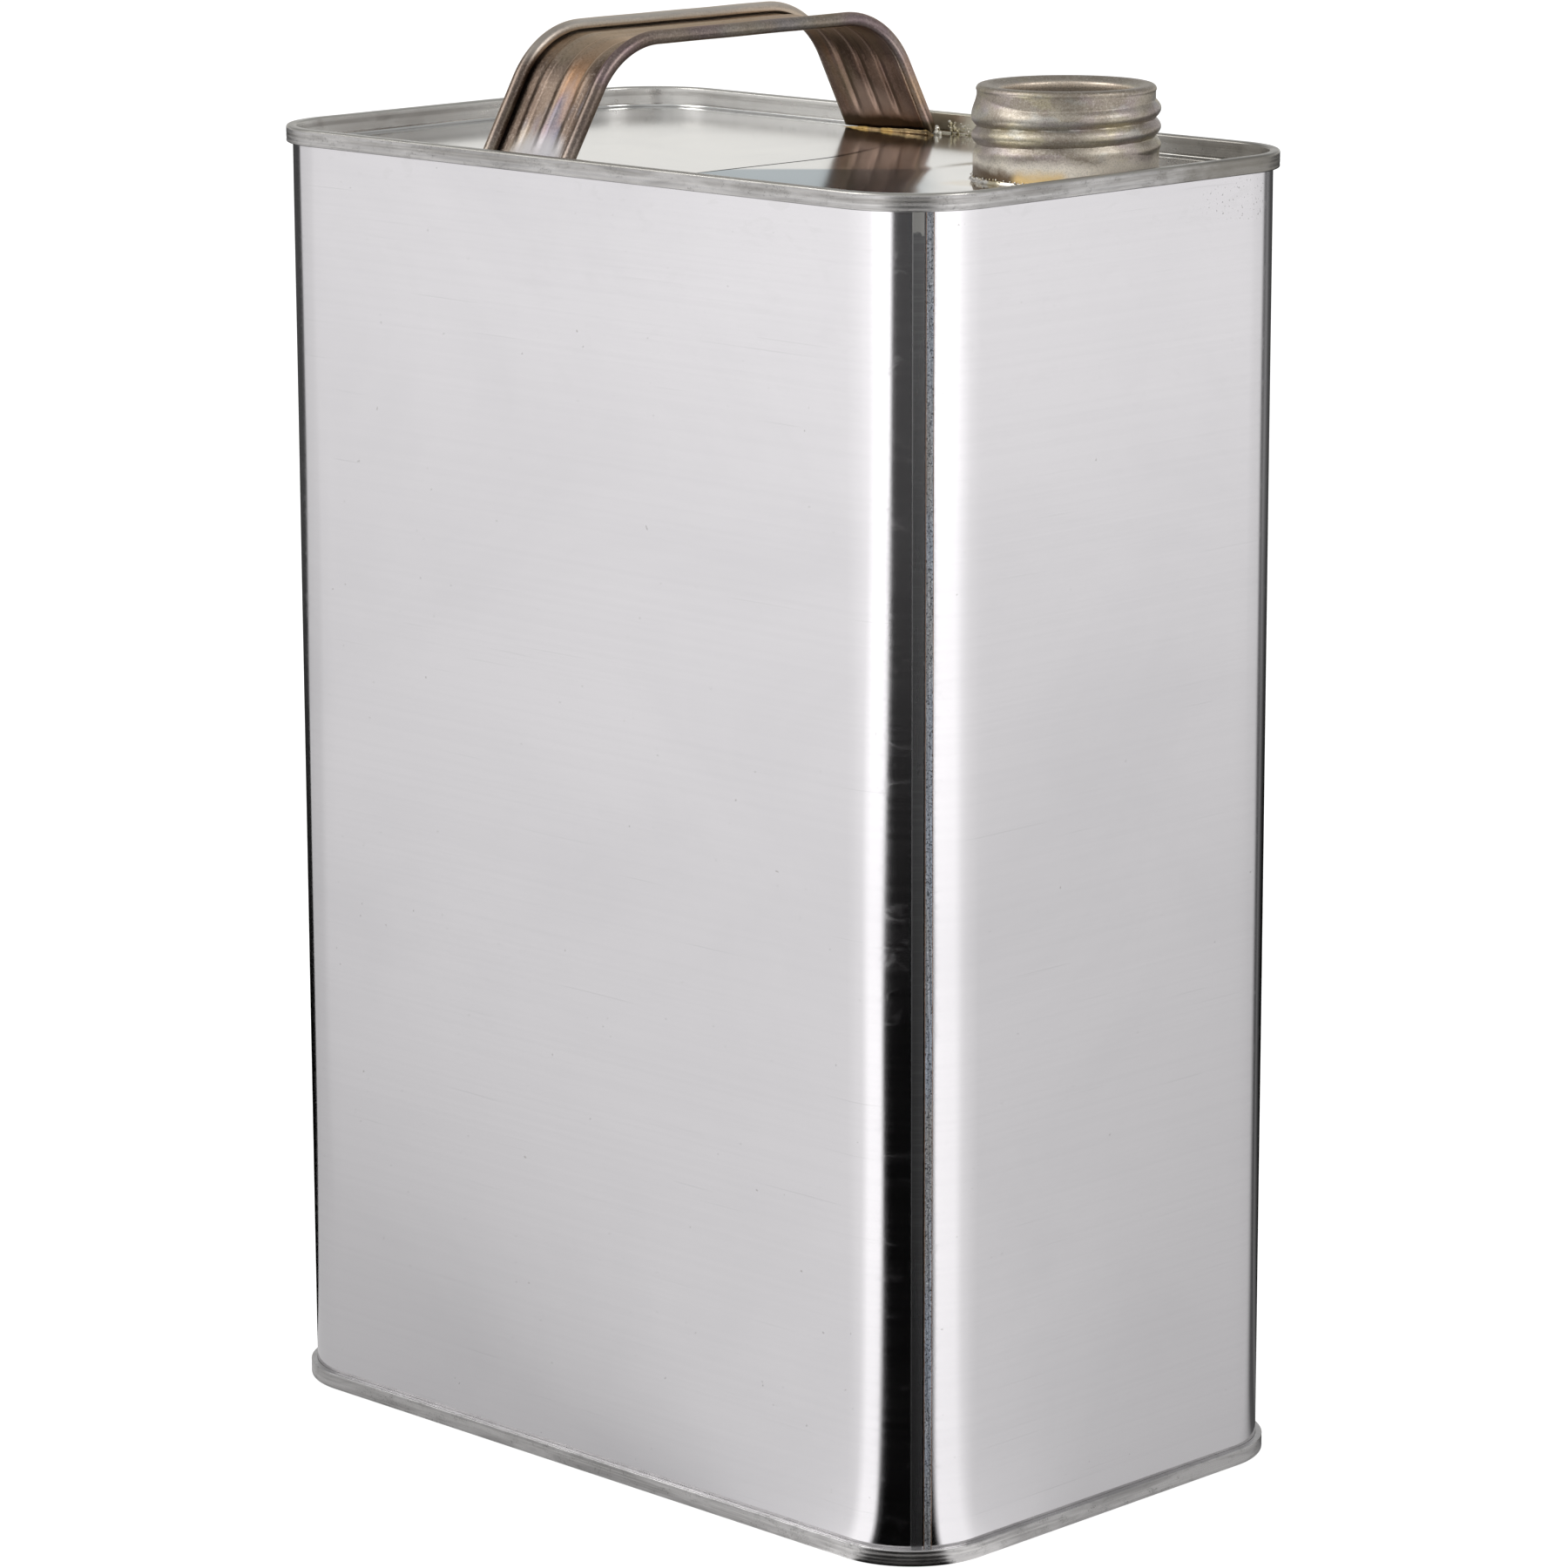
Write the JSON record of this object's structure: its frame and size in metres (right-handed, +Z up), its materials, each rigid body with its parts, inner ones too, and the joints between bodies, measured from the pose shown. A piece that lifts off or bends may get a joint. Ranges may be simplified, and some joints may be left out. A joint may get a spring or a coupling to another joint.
{
  "type": "f-style can",
  "caption": "Oblong tinplate can with rounded corners, double-seamed ends, a threaded pouring neck and a fixed strap handle on its sunk top.",
  "frame": {"origin": "middle of the can's footprint, at the surface it stands on", "axes": "+Z up along the can's height, +X along its wide direction towards the neck, +Y from the front wide face to the rear one"},
  "size_m": [0.1706, 0.104, 0.2625],
  "materials": {
    "tinplate_body": "bright tinplate",
    "tinplate_ends": "satin tinplate",
    "tinplate_neck": "satin tinplate, tinted by soldering",
    "handle_steel": "heat-tinted steel strap",
    "solder": "dull soft solder",
    "seam_compound": "sealing compound"
  },
  "bodies": {
    "root": {"body_shell": "tinplate_body", "side_seam_solder": "solder", "top_end": "tinplate_ends", "bottom_end": "tinplate_ends", "top_seam_compound": "seam_compound", "bottom_seam_compound": "seam_compound", "screw_neck": "tinplate_neck", "neck_solder_ring": "solder", "carry_handle": "handle_steel", "handle_solder_front": "solder", "handle_solder_rear": "solder"}
  },
  "joints": []
}
